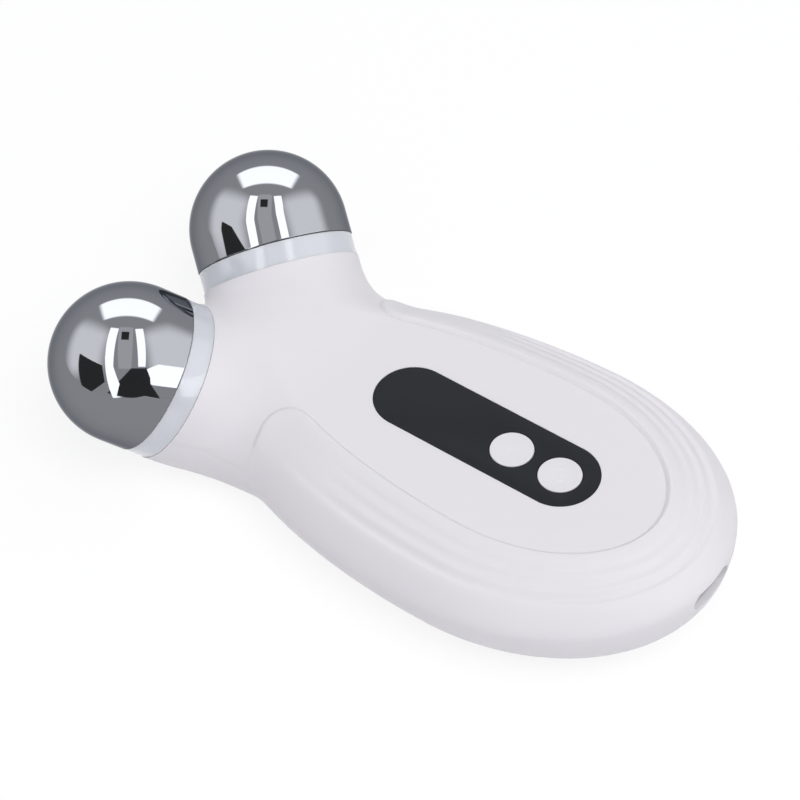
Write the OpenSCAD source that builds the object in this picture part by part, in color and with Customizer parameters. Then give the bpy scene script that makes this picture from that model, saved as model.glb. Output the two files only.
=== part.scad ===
// Facial toning device: an egg-shaped handpiece that splits into two raised necks, each
// carrying a translucent light ring and a mirror-bright electrode dome. A dark pill-shaped
// panel with two push buttons lies flush in the top.
// Frame: millimetres, +Z up from the flat rest face, +Y towards the domes, the origin on
// the rest face under the widest line of the egg.

/* [Body] */
// Half-width of the flat top face at its widest line
egg_r = 18.85; // [17.5:0.05:20.5]
// Length of the flat top face from its widest line to the port end
egg_port = 27.4; // [25:0.1:30]
// Length of the egg outline from its widest line towards the domes
egg_head = 54.2; // [52:0.1:56]
// How far the sides swell out past the flat top face
side = 12.7; // [11.5:0.1:13.5]
// Thickness from the rest face to the flat top face
body_h = 22.85; // [22:0.05:24]
// Height of the widest line above the rest face
waist_h = 12.6; // [11.5:0.05:13.5]
// Drop of the widest line for each millimetre towards the domes
waist_fall = 0.069; // [0:0.001:0.08]
// Roundness of the upper shoulder (2 is an ellipse, less is leaner)
top_round = 1.6; // [1.5:0.05:2.2]
// Roundness of the lower shoulder
under_round = 1.95; // [1.8:0.05:2.4]
// Wall of both housings
wall = 2; // [1.6:0.1:2.4]
// Thickness of the cover plate in the top face
cover_t = 2.4; // [2.2:0.1:2.8]
// Width of the ledge that the cover plate rests on
ledge = 1.2; // [0.8:0.1:1.5]

/* [Ridges] */
// Height of the rim above the cover at the crease
rim_rise = 0.7; // [0.3:0.05:1]
// Distance from the crease to the first groove
groove_at = 3.6; // [3.2:0.1:4]
// Spacing of the three grooves
groove_pitch = 2.18; // [2:0.02:2.3]
// Depth of a groove below its ridges
groove_d = 0.42; // [0.2:0.02:0.6]
// Line across the body where the grooves have their full depth
groove_full = 14; // [10:1:18]
// Line across the body where the grooves have run out
groove_end = 30; // [26:1:33]

/* [Necks] */
// Radius of a neck at its collar
neck_r = 15; // [14.6:0.05:15.3]
// Angle of each head away from the middle plane
spread = 36.4; // [35.5:0.1:38]
// Angle of each head above the rest face
rise = 34.5; // [33:0.1:36]
// Distance of a dome's centre from the middle plane
dome_x = 20.6; // [20.2:0.1:21.6]
// Distance of a dome's centre from the widest line
dome_y = 73; // [72:0.1:74]
// How far a dome's centre lies below the flat top face
dome_drop = 2.95; // [2.4:0.05:3.4]
// Softness of the saddle between the two necks
saddle = 8; // [6:0.5:10]
// Softness of the shoulders where the necks leave the body
shoulder_k = 9; // [6:0.5:12]
// Softness of the edge where the necks meet the plane of the rest face
under_k = 6.8; // [4:0.2:8]
// Height of the joint line along the flank of the necks
seam_h = 11.6; // [10.5:0.1:12.5]
// Radius of the rounded end of the rim beside the neck
lobe_r = 6.3; // [6:0.05:6.6]
// Joint gap between two housings
seam = 0.1; // [0.05:0.01:0.15]

/* [Heads] */
// Radius of a dome
dome_r = 15; // [14.6:0.05:15.3]
// Length of the straight skirt below a dome
skirt = 5; // [4:0.1:6]
// Wall of a dome
dome_wall = 1.2; // [1:0.1:1.6]
// Height of the light ring that shows
ring_h = 4.2; // [3.6:0.1:5]
// How much smaller the light ring is than the dome
ring_inset = 0.15; // [0.05:0.05:0.3]
// Wall of the light ring's spigots
spigot_wall = 1.3; // [1:0.1:1.6]
// Depth of the light ring's spigot in the neck
spigot_d = 2.4; // [2:0.1:3]
// Depth of the light ring's spigot in the dome
spigot_up = 1.4; // [1:0.1:2]
// Gap between a plugged-in piece and its seat
fit_gap = 0.1; // [0.05:0.01:0.2]
// Thickness of the web across a light ring
web_t = 1.4; // [1.2:0.1:1.8]
// Radius of a dome screw's shank
dome_screw_r = 1.5; // [1.2:0.1:1.6]
// Thickness of a light board
led_board_t = 1; // [0.8:0.1:1.2]
// Lights on each light board
led_count = 8; // [4:1:10]

/* [Panel and buttons] */
// Length of the dark panel
panel_l = 46.3; // [45:0.1:47.5]
// Width of the dark panel
panel_w = 14.5; // [14:0.1:15.2]
// Distance of the panel's middle from the widest line
panel_y = 8; // [7:0.1:9]
// Thickness of the dark panel
panel_t = 1; // [0.8:0.05:1.1]
// Thickness of the panel's adhesive sheet
glue_t = 0.2; // [0.15:0.05:0.3]
// Radius of a button's face
button_r = 3.95; // [3.7:0.05:4.1]
// Distance between the two buttons
button_pitch = 10.26; // [10.1:0.02:10.6]
// Travel of a button
travel = 0.4; // [0.25:0.05:0.5]
// Gap around a button
button_gap = 0.2; // [0.15:0.05:0.25]
// Width of the retaining flange round a button
flange_w = 0.8; // [0.6:0.05:0.85]
// Thickness of the retaining flange
flange_t = 0.8; // [0.6:0.1:1]
// Radius of a button's stem
stem_r = 1.6; // [1.2:0.1:1.8]
// Width of a push switch
switch_w = 6; // [5.6:0.1:6.2]
// Height of a push switch's housing
switch_h = 2.5; // [2.2:0.1:2.8]
// Radius of a switch plunger
plunger_r = 1.7; // [1.5:0.05:1.8]
// How far a switch plunger stands out of its housing
plunger_out = 0.9; // [0.7:0.05:1.1]

/* [Inside] */
// Length of a button's stem below its flange
stem_l = 1.6; // [1.3:0.05:1.9]
// Thickness of the circuit board
board_t = 1.2; // [1:0.1:1.6]
// Width of the circuit board
board_w = 27; // [25:0.5:29]
// How far the circuit board runs on past its last screw
board_past = 3.85; // [3.4:0.05:4.5]
// Width of the circuit board's tab at the port
board_tab = 14.5; // [14:0.1:15.5]
// Length of the battery
battery_l = 30; // [26:0.5:31]
// Width of the battery
battery_w = 28; // [24:0.5:29]
// Thickness of the battery
battery_t = 6; // [5:0.1:6.6]
// Thickness of the foam pad under the battery
pad_t = 1; // [0.5:0.1:1.2]
// Radius of a housing screw's shank
screw_r = 1; // [0.9:0.05:1.15]
// Radius of a housing screw's head
screw_head_r = 1.8; // [1.6:0.05:1.85]
// Radius of a screw boss
boss_r = 2.4; // [2.1:0.05:2.6]
// Radius of an insulated wire
wire_r = 0.55; // [0.4:0.05:0.6]

/* [Charging port] */
// Width of the port slot in the end wall
port_w = 10.4; // [10:0.1:11]
// Height of the port slot in the end wall
port_h = 3.8; // [3.6:0.05:3.95]
// Width of the charging socket's shell
socket_w = 8.94; // [8.9:0.01:9]
// Height of the charging socket's shell
socket_h = 3.26; // [3.2:0.01:3.3]
// Length of the charging socket's shell
socket_l = 7.35; // [6.9:0.05:7.9]
// How far the socket's mouth lies behind the end of the body
socket_in = 1.6; // [1.2:0.1:3]

/* [Hidden] */
$fn = 64;
eps = 0.01;

white = [0.9, 0.885, 0.905];
chrome = [0.78, 0.79, 0.81];
frosted = [0.82, 0.85, 0.9];
charcoal = [0.19, 0.2, 0.22];

// The head frame: its origin is the centre of the collar and +Z points out through the
// dome. Heights in it are t values: the light ring starts at 0.
axis = [sin(spread) * cos(rise), cos(spread) * cos(rise), sin(rise)];
dome_t = ring_h + skirt;
collar = [dome_x, dome_y, body_h - dome_drop] - dome_t * axis;
ring_r = dome_r - ring_inset;
socket_r = neck_r - wall;
spigot_r = socket_r - fit_gap;
dome_bore = dome_r - dome_wall;
web_z = 0.6;
ledge_t = -spigot_d;
dome_boss_r = 3.2;
dome_screw_head_r = 2.8;
dome_screw_head = 1.2;
dome_screw_l = 8;
cross_w = 0.6;
terminal_t = 0.4;
terminal_r = 3.4;
tab_x = 3.9;
tab_w = 2;

// Heights of the stack under the panel
floor_z = body_h - panel_t - glue_t;
plate_z = body_h - cover_t;
flange_z = plate_z - 0.05;
plunger_top = flange_z - flange_t - stem_l;
switch_top = plunger_top - plunger_out;
board_z = switch_top - switch_h;
pill_c = (panel_l - panel_w) / 2;
power_y = panel_y - pill_c;
level_y = power_y + button_pitch;
flange_r = button_r + flange_w;
screw_gap = 0.3;
screw_in = 1.2;
screw_sink = 0.9;
screw_ys = [level_y + flange_r + boss_r + screw_gap,
    panel_y + panel_l / 2 - screw_head_r - screw_in];
board_head = screw_ys[1] + board_past;
display_gap = 0.5;
display_y0 = screw_ys[0] + boss_r + display_gap;
display_y1 = screw_ys[1] - boss_r - display_gap;
display_w = 9;
display_z = plate_z - 0.3;

// Places along the body
port_end = -(egg_port + side);
lobe_out = 1.05;
lobe_x = egg_r + lobe_out;
lobe_y = 38.5;
lobe_lean = 18;
plate_full = lobe_y - 0.65 * lobe_r;
rim_exit = lobe_y + lobe_r - 0.6;
port_z = board_z - board_t / 2;
socket_y = port_end + socket_in;
board_port = port_end + wall + 2;
battery_z = wall + pad_t;
battery_y1 = screw_ys[0] - boss_r - 1.2;
battery_y0 = battery_y1 - battery_l;
rib_t = 1.2;
rib_h = 4.4;
rib_off = rib_t / 2 + 0.3;

// ---------- Shape of the handpiece ----------

function soft(t) = let (s = min(max(t, 0), 1)) s * s * (3 - 2 * s);
function unit(v) = v / norm(v);
function blend_min(a, b, k) = min(a, b) - pow(max(k - abs(a - b), 0), 2) / (4 * k);
function blend_max(a, b, k) = -blend_min(-a, -b, k);

// Length of the egg on the side of the widest line where y lies
function egg_len(y) = y < 0 ? egg_port : egg_head;

// How far (x, y) lies outside the egg: it is on the ellipse that is grown by that much
function past(x, y, d, turns) = turns == 0 ? d :
    let (a = max(egg_r + d, 1), b = max(egg_len(y) + d, 1),
        f = x * x / (a * a) + y * y / (b * b) - 1,
        slope = 2 * (x * x / (a * a * a) + y * y / (b * b * b)) + 1e-6)
    past(x, y, max(d + f / slope, 1 - egg_r), turns - 1);
function past_egg(x, y) =
    past(x, y, egg_r * max(norm([x / egg_r, y / egg_len(y)]) - 1, -0.9), 5);

function waist(y) = waist_h - waist_fall * min(max(y, -39), 48);

// The egg-shaped body: below 0 inside, above 0 outside, about in millimetres
function pebble(x, y, z) =
    let (d = max(past_egg(x, y), 0) / side, w = waist(y), up = z > w,
        h = abs(z - w) / (up ? body_h - w : w), n = up ? top_round : under_round)
    (pow(pow(d, n) + pow(h, n), 1 / n) - 1) * side * 0.92;

// One neck: a round bar about the head's axis, that starts deep in the body
function neck(p) = let (q = p - collar, t = min(max(q * axis, -24), 8))
    norm(q - t * axis) - neck_r;

// The whole handpiece without its ridges: the necks end softly at the rest face
function form(p) =
    let (necks = blend_max(blend_min(neck(p), neck([-p.x, p.y, p.z]), saddle), -p.z, under_k))
    max(blend_min(pebble(p.x, p.y, p.z), necks, shoulder_k), -p.z);

// The head end of the form stops at the line neck_from. Where bury is set, it lies that
// much under the ridged body's skin up to the end of the rim.
neck_from = 24;
function neck_end(p, inset, bury) =
    max(form(p) + inset + bury * (1 - soft((p.y - rim_exit + 1.5) / 1.5)),
        neck_from + inset - p.y);
function neck_skin(d, lo, hi, inset, bury, turns) = let (m = (lo + hi) / 2)
    turns == 0 ? snap(neck_core + m * d) : neck_end(neck_core + m * d, inset, bury) < 0 ?
        neck_skin(d, m, hi, inset, bury, turns - 1) : neck_skin(d, lo, m, inset, bury, turns - 1);

function snap(p) = [p.x, p.y, abs(p.z - body_h) < 0.02 ? body_h : abs(p.z) < 0.02 ? 0 : p.z];

neck_core = [0, 46, 10];
function sky(u, v) = [sin(u) * sin(v), cos(u), sin(u) * cos(v)];

// Skin over a stack of rings, closed by a fan at each end
module skin(rings, first, last) {
    n = len(rings[0]);
    m = len(rings);
    points = [first, for (r = rings) each r, last];
    polyhedron(points, concat(
        [for (i = [0:n - 1]) [0, 1 + (i + 1) % n, 1 + i]],
        [for (j = [0:m - 2], i = [0:n - 1]) let (a = 1 + j * n, b = a + n, k = (i + 1) % n)
            each [[a + i, a + k, b + k], [a + i, b + k, b + i]]],
        [for (i = [0:n - 1]) let (a = 1 + (m - 1) * n) [a + i, a + (i + 1) % n, m * n + 1]]));
}

// Head end of the body with both necks, running on past the collars
module neck_form(inset, bury, step, n) {
    skin([for (u = [step:step:180 - step]) [for (i = [0:n - 1])
            neck_skin(sky(u, 360 * i / n), 0, 62, inset, bury, 16)]],
        neck_skin(sky(0, 0), 0, 62, inset, bury, 16),
        neck_skin(sky(180, 0), 0, 62, inset, bury, 16));
}

// Plan point on the egg grown by d, at the turn a
function egg_at(a, d) = [(egg_r + d) * cos(a), ((sin(a) < 0 ? egg_port : egg_head) + d) * sin(a)];

// Height of the ridged rim above the plain form, d outwards from the crease: a lip at the
// crease, a low outer shoulder that fades towards the necks, and three grooves
lip_w = 0.9;
lip_end = 6.2;
function lip(d) = d <= 0 ? 0 : d < lip_w ? rim_rise * d / lip_w :
    rim_rise * (1 - soft((d - lip_w) / (lip_end - lip_w)));
function shoulder(d) = let (k = (d - groove_at) / groove_pitch)
    0.1 * min(max(k, 0), 1) + 0.3 * soft((k - 2) / 0.6) * (1 - soft((k - 2.6) / 1.2));
function groove(d) = let (k = (d - groove_at) / groove_pitch)
    k < -0.5 || k > 2.5 ? 0 : -groove_d * (0.6 + 0.2 * round(k)) * pow(cos(180 * (k - round(k))), 2);
// How far a plan point lies inside the rounded end of the rim
function lobe_in(x, y) = lobe_r - norm([max(lobe_x - abs(x), 0), max(y - lobe_y, 0)]);
function rim_top(x, y, d) = lip(y > groove_end ? min(d, max(lobe_in(x, y), 0)) : d)
    + shoulder(d) * soft((rim_exit - y) / (rim_exit - groove_end))
    + groove(d) * soft((groove_end - y) / (groove_end - groove_full));

// Past the end of the rim the ridged body dives under the skin of the necks
function dive(y) = 0.4 * soft((y - rim_exit + 0.5) / 1.5);

// Height of the plain form over a plan point
function form_z(x, y, lo, hi, turns) = let (m = (lo + hi) / 2)
    turns == 0 ? m : form([x, y, m]) < 0 ?
        form_z(x, y, m, hi, turns - 1) : form_z(x, y, lo, m, turns - 1);

// Skin of the form along a ray that leaves the heart line of the rim
heart_d = 2;
function side_skin(c, d, lo, hi, turns) = let (m = (lo + hi) / 2, p = c + m * d)
    turns == 0 ? p : form(p) + dive(p.y) < 0 ?
        side_skin(c, d, m, hi, turns - 1) : side_skin(c, d, lo, m, turns - 1);
function heart(a, turn) =
    let (p = egg_at(a, heart_d), n = unit(egg_at(a, heart_d + 1) - p))
    side_skin([p.x, p.y, waist(p.y)], [n.x * sin(turn), n.y * sin(turn), cos(turn)], 0, 26, 14);

// Rings of the ridged body: first the top, each at a distance from the crease, then round
// the side, and under to the rest face
top_ds = concat([-1.5, 0, 0.45, 0.9, 1.8, 2.7],
    [for (k = [0:0.25:3]) groove_at + k * groove_pitch]);
rim_n = 64;
function rim_ring(d) = [for (i = [0:rim_n - 1])
    let (p = egg_at(360 * i / rim_n, d))
    [p.x, p.y, (d <= 0 ? body_h : form_z(p.x, p.y, waist(p.y), body_h + 4, 14))
        + rim_top(p.x, p.y, d) - dive(p.y)]];

module ridged_body() {
    skin(concat([for (d = top_ds) rim_ring(d)],
        [for (turn = [70:14:168]) [for (i = [0:rim_n - 1]) heart(360 * i / rim_n, turn)]],
        [[for (i = [0:rim_n - 1]) let (p = egg_at(360 * i / rim_n, 0)) [p.x, p.y, dive(p.y)]]]),
        [0, 0, body_h], [0, 0, 0]);
}

// The hollow of the egg, one wall inside it, with a ledge that the cover rests on
module body_hollow() {
    n = 36;
    top = plate_z - ledge;
    skin(concat([for (z = [plate_z, top]) [for (i = [0:n - 1])
            let (p = egg_at(360 * i / n, -ledge)) [p.x, p.y, z]]],
        [for (a = [9, 33, 57, 81, 105, 129, 153, 180]) [for (i = [0:n - 1])
            let (p = egg_at(360 * i / n, (side - wall) * sin(a)), w = waist(p.y), h = abs(cos(a)))
            [p.x, p.y, a <= 90 ? w + (top - w) * h : w - (w - wall) * h]]]),
        [0, 0, plate_z], [0, 0, wall]);
}

// ---------- Outline of the cover ----------

// Outline of the cover in plan: the egg, the round ends of the rim and the necks
module cover_plan(grow) {
    a0 = asin((lobe_y - lobe_r * sin(lobe_lean)) / egg_head);
    right = concat(
        [for (a = [-90:6:0]) egg_at(a, 0)],
        [for (i = [1:8]) egg_at(a0 * i / 8, 0)],
        [for (a = [180 + lobe_lean - 6:-12:96]) [lobe_x + lobe_r * cos(a), lobe_y + lobe_r * sin(a)]],
        [[lobe_x + 3, rim_exit + 0.2], [46, rim_exit - 1], [46, 110]]);
    offset(delta = grow) polygon(concat(right,
        [for (i = [len(right) - 1:-1:1]) [-right[i].x, right[i].y]]));
}

// The space of the cover: a plate in the top face, and the upper half of the necks
seam_turn = 50;
seam_slope = 0.42;
module cover_space(grow) {
    translate([0, 0, plate_z]) linear_extrude(40) cover_plan(grow);
    intersection() {
        linear_extrude(80) cover_plan(grow);
        rotate([90, 0, 90]) linear_extrude(100, center = true)
            polygon([[rim_exit - 3, seam_h - grow], [seam_turn, seam_h - grow],
                [seam_turn + 60, seam_h - grow + 60 * seam_slope], [110, 80],
                [rim_exit - 3, 80]]);
    }
}

// ---------- Frames ----------

module on_head(s) {
    translate([s * collar.x, collar.y, collar.z])
        rotate([0, 90 - rise, s > 0 ? 90 - spread : 90 + spread]) children();
}

module both_heads() {
    for (s = [-1, 1])
        on_head(s) children();
}

// Beyond the collars there is no housing
module past_collars() {
    both_heads() cylinder(r = neck_r + 3, h = 40);
}

// Everything hollow inside the housings
module hollow() {
    body_hollow();
    difference() {
        neck_form(wall, 0, 12, 30);
        // the cover plate keeps its thickness between the necks
        translate([-60, -60, plate_z]) cube([120, 60 + rim_exit, 20]);
    }
    both_heads() translate([0, 0, ledge_t]) cylinder(r = socket_r, h = spigot_d + 1);
}

module pill(l, w, h) {
    linear_extrude(h) {
        square([w, l - w], center = true);
        for (s = [-1, 1])
            translate([0, s * (l - w) / 2]) circle(r = w / 2);
    }
}

// A rounded rib or post on the floor of the rear housing, from a to b in plan
module floor_rib(a, b, t, h) {
    hull()
        for (p = [a, b])
            translate([p.x, p.y, wall - eps]) cylinder(r = t / 2, h = h + eps, $fn = 14);
}

// ---------- Housings ----------

module port_slot() {
    translate([0, port_end - 1, port_z]) slot_shape(port_w, port_h, 8);
}

post_x = board_tab / 2 - 1.6;
post_y = board_port + 5;
module rear_housing() {
    color(white) {
        difference() {
            union() {
                ridged_body();
                neck_form(0, 0.3, 7.5, 36);
                both_heads() translate([0, 0, -1]) cylinder(r = neck_r, h = 1, $fn = 96);
            }
            hollow();
            cover_space(seam);
            past_collars();
            port_slot();
        }
        // bosses that the two housing screws bite into; the circuit board rests on them
        for (y = screw_ys)
            difference() {
                translate([0, y, wall - eps]) cylinder(r = boss_r, h = board_z - board_t - wall + eps);
                translate([0, y, wall + 2]) cylinder(r = screw_r - 0.15, h = 20);
            }
        // posts under the board's port end
        for (s = [-1, 1])
            floor_rib([s * post_x, post_y - 1], [s * post_x, post_y + 1], 2.4, board_z - board_t - wall);
        // ribs that keep the battery in place
        for (s = [-1, 1]) {
            floor_rib([s * 8, battery_y1 + rib_off], [s * 12, battery_y1 + rib_off], rib_t, rib_h);
            floor_rib([s * (battery_w / 2 + rib_off), battery_y1 - 4],
                [s * (battery_w / 2 + rib_off), battery_y1 - 18], rib_t, rib_h);
            floor_rib([s * 4, battery_y0 - rib_off], [s * 9, battery_y0 - rib_off], rib_t, rib_h);
        }
    }
}

module front_cover() {
    color(white) {
        difference() {
            intersection() {
                union() {
                    cover_blank();
                    intersection() {
                        neck_form(0, 0, 180 / 28, 42);
                        translate([-60, plate_full - 1, 0]) cube(120);
                    }
                    both_heads() translate([0, 0, -1]) cylinder(r = neck_r, h = 1, $fn = 96);
                }
                cover_space(0);
            }
            hollow();
            past_collars();
            // recess of the dark panel
            translate([0, panel_y, floor_z]) pill(panel_l + 2 * seam, panel_w + 2 * seam, 5);
            // holes in the recess floor
            for (y = [power_y, level_y])
                translate([0, y, plate_z - 1]) cylinder(r = button_r + button_gap, h = 5);
            translate([-display_w / 2 + 1, display_y0 + 1, plate_z - 1])
                cube([display_w - 2, display_y1 - display_y0 - 2, 5]);
            for (y = screw_ys)
                translate([0, y, plate_z - 1]) cylinder(r = screw_r + 0.15, h = 5);
            for (y = screw_ys)
                translate([0, y, floor_z - screw_sink]) cylinder(r = screw_head_r + 0.15, h = 5);
        }
        // tubes that clamp the circuit board under the screws
        for (y = screw_ys)
            difference() {
                translate([0, y, board_z]) cylinder(r = boss_r, h = plate_z - board_z + eps);
                translate([0, y, board_z - 1]) cylinder(r = screw_r + 0.15, h = 20);
            }
    }
}

// The blank of the cover plate, before the outline of the cover trims it
module cover_blank() {
    translate([0, 0, plate_z]) linear_extrude(cover_t) {
        translate([-60, -60]) square([120, 60 + plate_full]);
        square([2 * egg_r * sqrt(1 - pow(rim_exit / egg_head, 2)), 2 * rim_exit], center = true);
    }
}

// ---------- Panel ----------

module display_panel() {
    color(charcoal)
        translate([0, panel_y, floor_z + glue_t]) difference() {
            pill(panel_l, panel_w, panel_t);
            for (y = [power_y, level_y])
                translate([0, y - panel_y, -1]) cylinder(r = button_r + button_gap, h = 5);
        }
}

module panel_adhesive() {
    color("gainsboro")
        translate([0, panel_y, floor_z]) difference() {
            pill(panel_l - 0.6, panel_w - 0.6, glue_t);
            for (y = [power_y, level_y])
                translate([0, y - panel_y, -1]) cylinder(r = button_r + button_gap + 0.4, h = 3);
            for (y = screw_ys)
                translate([0, y - panel_y, -1]) cylinder(r = screw_head_r + 0.2, h = 3);
            translate([-display_w / 2 + 0.6, display_y0 - panel_y + 0.6, -1])
                cube([display_w - 1.2, display_y1 - display_y0 - 1.2, 3]);
        }
}

module display_module() {
    color("dimgray")
        translate([-display_w / 2, display_y0, board_z])
            cube([display_w, display_y1 - display_y0, display_z - board_z]);
}

// ---------- Buttons and switches ----------

edge_r = 0.25;
module button(y) {
    color(white)
        translate([0, y, 0]) rotate_extrude() polygon(concat(
            [[0, plunger_top], [stem_r, plunger_top], [stem_r, flange_z - flange_t],
                [flange_r, flange_z - flange_t], [flange_r, flange_z], [button_r, flange_z]],
            [for (a = [0:30:90]) [button_r - edge_r + edge_r * cos(a), body_h - edge_r + edge_r * sin(a)]],
            [[0, body_h]]));
}

module power_button() {
    button(power_y);
}

module level_button() {
    button(level_y);
}

plunger_gap = 0.15;
plunger_in = 0.9;
module switch_housing(y) {
    color("dimgray")
        translate([0, y, board_z]) difference() {
            union() {
                translate([-switch_w / 2, -switch_w / 2, 0.1]) cube([switch_w, switch_w, switch_h - 0.1]);
                for (x = [-1, 1], k = [-1, 1])
                    translate([x * (switch_w / 2 + 0.5) - 0.6, k * 2.2 - 0.35, 0]) cube([1.2, 0.7, 0.5]);
            }
            translate([0, 0, switch_h - plunger_in - travel - 0.2])
                cylinder(r = plunger_r + plunger_gap, h = 5);
        }
}

module power_switch() {
    switch_housing(power_y);
}

module level_switch() {
    switch_housing(level_y);
}

module plunger(y) {
    color("black")
        translate([0, y, switch_top - plunger_in]) cylinder(r = plunger_r, h = plunger_in + plunger_out);
}

module power_switch_plunger() {
    plunger(power_y);
}

module level_switch_plunger() {
    plunger(level_y);
}

// ---------- Circuit board ----------

notch_w = socket_w + 0.2;
module main_pcb() {
    color("darkgreen")
        difference() {
            translate([0, 0, board_z - board_t]) linear_extrude(board_t) polygon([
                [-board_tab / 2, board_port], [board_tab / 2, board_port],
                [board_tab / 2, board_port + 6], [board_w / 2, board_port + 13],
                [board_w / 2, board_head - 3], [board_w / 2 - 3, board_head],
                [3 - board_w / 2, board_head], [-board_w / 2, board_head - 3],
                [-board_w / 2, board_port + 13], [-board_tab / 2, board_port + 6]]);
            translate([-notch_w / 2, board_port - 1, board_z - board_t - 1])
                cube([notch_w, socket_y + socket_l - board_port + 1.1, board_t + 2]);
            for (y = screw_ys)
                translate([0, y, board_z - board_t - 1]) cylinder(r = screw_r + 0.2, h = board_t + 2);
        }
}

module controller_chip() {
    color("black")
        translate([5.6, display_y0 + 2, board_z]) cube([6, 6, 1]);
}

module boost_inductor() {
    color("gray")
        translate([-board_w / 2 + 4.2, display_y0 + 5, board_z]) difference() {
            cylinder(r = 3, h = 3);
            translate([0, 0, 2.4]) cylinder(r = 1.4, h = 2);
        }
}

// ---------- Charging socket ----------

shell_t = 0.3;
lug_w = 1.5;
module slot_shape(w, h, l) {
    rotate([-90, 0, 0]) linear_extrude(l) {
        square([w - h, h], center = true);
        for (s = [-1, 1])
            translate([s * (w - h) / 2, 0]) circle(r = h / 2);
    }
}

module usb_c_socket() {
    color("silver") {
        difference() {
            translate([0, socket_y, port_z]) slot_shape(socket_w, socket_h, socket_l);
            translate([0, socket_y - 1, port_z])
                slot_shape(socket_w - 2 * shell_t, socket_h - 2 * shell_t, socket_l - 0.4 + 1 - shell_t);
        }
        // solder lugs on the board
        for (s = [-1, 1], y = [board_port + 0.6, socket_y + socket_l - 2])
            translate([s * (socket_w / 2 + 0.4) - lug_w / 2, y, board_z]) cube([lug_w, 1.2, 0.3]);
    }
}

tongue_l = 5;
module usb_c_tongue() {
    color("black")
        translate([-3.3, socket_y + socket_l - 0.4 - shell_t - tongue_l, port_z - 0.35])
            cube([6.6, tongue_l, 0.7]);
}

// ---------- Battery ----------

module battery() {
    color("lightsteelblue")
        translate([0, battery_y0, battery_z]) {
            translate([-battery_w / 2, 0, 0]) cube([battery_w, battery_l, battery_t]);
        }
}

pad_in = 3;
pad_film = 0.05;
module battery_pad() {
    color("darkgray")
        translate([pad_in - battery_w / 2, battery_y0 + pad_in, wall + pad_film])
            cube([battery_w - 2 * pad_in, battery_l - 2 * pad_in, pad_t - pad_film]);
}

plug_w = 6;
plug_l = 4;
plug_h = 2.6;
plug_x = board_w / 3;
plug_y = screw_ys[0] + 9;
lead_apart = 1.2;
lead_drop = 1.5;
module battery_connector() {
    color("ivory")
        translate([plug_x - plug_w / 2, plug_y - plug_l / 2, board_z - board_t - plug_h])
            cube([plug_w, plug_l, plug_h]);
}

// A wire along a cubic curve through two end points and two handles
function curve(p, t) = pow(1 - t, 3) * p[0] + 3 * pow(1 - t, 2) * t * p[1]
    + 3 * (1 - t) * t * t * p[2] + t * t * t * p[3];
module wire(p, r) {
    n = 12;
    sides = 8;
    at = [for (i = [0:n]) curve(p, i / n)];
    rings = [for (i = [0:n])
        let (t = unit(at[min(i + 1, n)] - at[max(i - 1, 0)]), u = unit(cross(t, [0.3, 0.2, 1])),
            v = cross(t, u))
        [for (k = [0:sides - 1]) at[i] + r * (cos(360 * k / sides) * u + sin(360 * k / sides) * v)]];
    skin(rings, at[0], at[n]);
}

module battery_leads() {
    for (s = [-1, 1])
        color(s > 0 ? "crimson" : "black")
            wire([for (p = [[battery_y1, battery_z + battery_t - lead_drop],
                    [battery_y1 + plug_l, battery_z + battery_t - lead_drop],
                    [plug_y - 1.5 * plug_l, board_z - board_t - plug_h / 2],
                    [plug_y - plug_l / 2, board_z - board_t - plug_h / 2]])
                [plug_x + s * lead_apart, p.x, p.y]], wire_r);
}

// ---------- Heads ----------

// The electrode: a thin hemisphere with a straight skirt and a boss for its screw
module dome(s) {
    color(chrome) on_head(s) {
        rotate_extrude($fn = 96) polygon(concat(
            [[dome_bore, ring_h], [dome_r - 0.2, ring_h], [dome_r, ring_h + 0.2]],
            [for (a = [0:5:90]) [dome_r * cos(a), dome_t + dome_r * sin(a)]],
            [for (a = [90:-7.5:0]) [dome_bore * cos(a), dome_t + dome_bore * sin(a)]]));
        difference() {
            translate([0, 0, web_z + web_t])
                cylinder(r = dome_boss_r, h = dome_t + dome_bore + 0.4 - web_z - web_t);
            translate([0, 0, web_z]) cylinder(r = dome_screw_r, h = 10);
        }
    }
}

module left_dome() {
    dome(-1);
}

module right_dome() {
    dome(1);
}

// The frosted ring: it shows between neck and dome, plugs into both and carries a web
module light_ring(s) {
    top_r = dome_bore - fit_gap;
    color(frosted) on_head(s)
        rotate_extrude($fn = 96) polygon([
            [dome_screw_r + 0.15, web_z], [spigot_r - spigot_wall, web_z],
            [spigot_r - spigot_wall, ledge_t + 0.1], [spigot_r, ledge_t + 0.1], [spigot_r, 0],
            [ring_r, 0], [ring_r, ring_h], [top_r, ring_h], [top_r, ring_h + spigot_up],
            [top_r - spigot_wall, ring_h + spigot_up], [top_r - spigot_wall, web_z + web_t],
            [dome_screw_r + 0.15, web_z + web_t]]);
}

module left_light_ring() {
    light_ring(-1);
}

module right_light_ring() {
    light_ring(1);
}

led_size = 1.2;
led_ring_r = 8.6;
led_t = 0.7;
board_r = spigot_r - spigot_wall - 0.05;
board_top = web_z - led_t;
module led_board(s) {
    color("whitesmoke") on_head(s)
        difference() {
            translate([0, 0, board_top - led_board_t]) cylinder(r = board_r, h = led_board_t);
            translate([0, 0, board_top - led_board_t - 1]) cylinder(r = 4.6, h = led_board_t + 2);
        }
}

module left_led_board() {
    led_board(-1);
}

module right_led_board() {
    led_board(1);
}

module ring_leds() {
    color("gold") both_heads()
        for (i = [0:led_count - 1])
            rotate([0, 0, 360 * (i + 0.5) / led_count]) translate([led_ring_r, 0, board_top])
                translate([-led_size / 2, -led_size / 2, 0]) cube([led_size, led_size, led_t]);
}

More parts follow.
